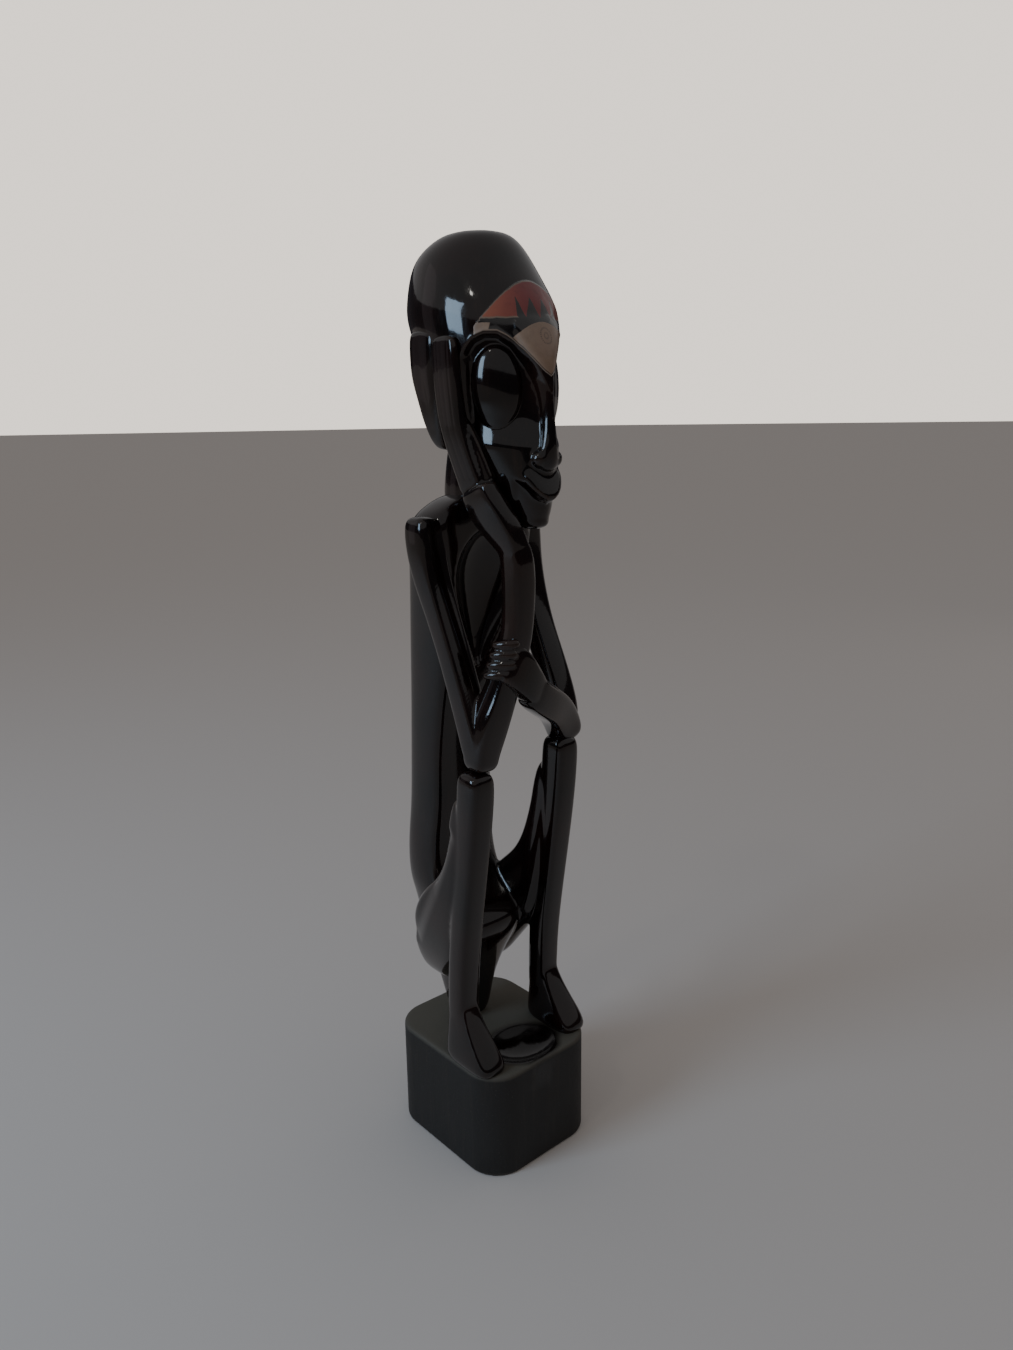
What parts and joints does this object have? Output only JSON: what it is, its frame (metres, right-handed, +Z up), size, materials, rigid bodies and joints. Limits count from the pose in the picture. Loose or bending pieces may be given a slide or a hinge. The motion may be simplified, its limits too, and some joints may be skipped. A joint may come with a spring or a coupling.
{
  "type": "carved wooden statuette",
  "caption": "Slim carved wooden statuette of a seated thinker, chin on one hand, in glossy black on a matt block base.",
  "frame": {"origin": "centre of the base block's underside, on the surface that the statuette stands on", "axes": "+Z up along the figure, -Y the way the figure faces, +X towards the figure's own left"},
  "size_m": [0.0701, 0.0838, 0.3977],
  "materials": {
    "black_lacquer": "black stain under high-gloss lacquer",
    "matt_stain": "matt black stain, bare of lacquer",
    "brow_paint": "incised and painted panel under gloss lacquer"
  },
  "bodies": {
    "root": {"base_block": "matt_stain", "torso": "black_lacquer", "pelvis": "black_lacquer", "neck": "black_lacquer", "head": "black_lacquer", "right_ear": "black_lacquer", "left_ear": "black_lacquer", "right_upper_arm": "black_lacquer", "left_upper_arm": "black_lacquer", "right_forearm": "black_lacquer", "left_forearm": "black_lacquer", "right_hand": "black_lacquer", "left_hand": "black_lacquer", "right_thigh": "black_lacquer", "left_thigh": "black_lacquer", "right_shin": "black_lacquer", "left_shin": "black_lacquer", "right_foot": "black_lacquer", "left_foot": "black_lacquer"}
  },
  "joints": []
}
